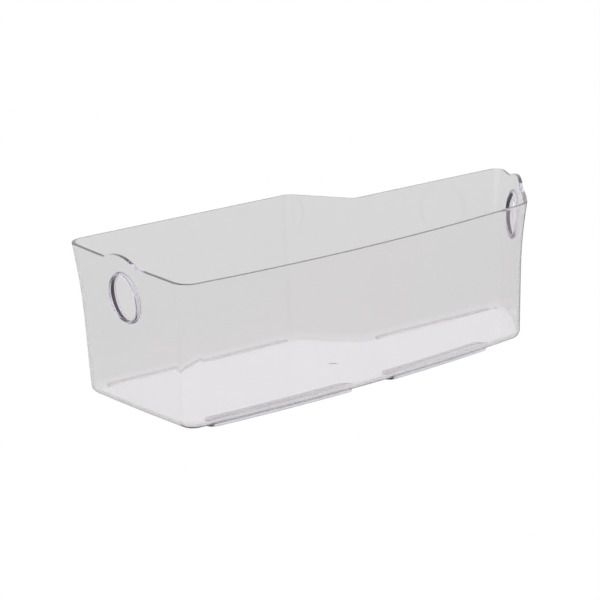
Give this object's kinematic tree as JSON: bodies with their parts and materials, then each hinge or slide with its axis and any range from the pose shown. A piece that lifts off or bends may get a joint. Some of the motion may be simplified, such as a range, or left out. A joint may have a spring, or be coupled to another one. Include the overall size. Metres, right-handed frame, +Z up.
{
  "type": "fridge bin",
  "caption": "Clear open-topped fridge door bin with a bowed front, a stepped back, one splayed end, a round finger hole in each end wall and long foot strips underneath.",
  "frame": {"origin": "middle of the bin's bounding box in plan, on the surface the foot strips stand on", "axes": "+X along the straight back walls towards the splayed end, +Y from the bowed front wall to the back, +Z up"},
  "size_m": [0.3882, 0.1498, 0.1104],
  "materials": {
    "bin_plastic": "clear, polished",
    "strip_plastic": "clear, lightly satin"
  },
  "bodies": {
    "root": {"bin_body": "bin_plastic", "front_left_foot_strip": "strip_plastic", "front_right_foot_strip": "strip_plastic", "back_left_foot_strip": "strip_plastic", "back_right_foot_strip": "strip_plastic"}
  },
  "joints": []
}
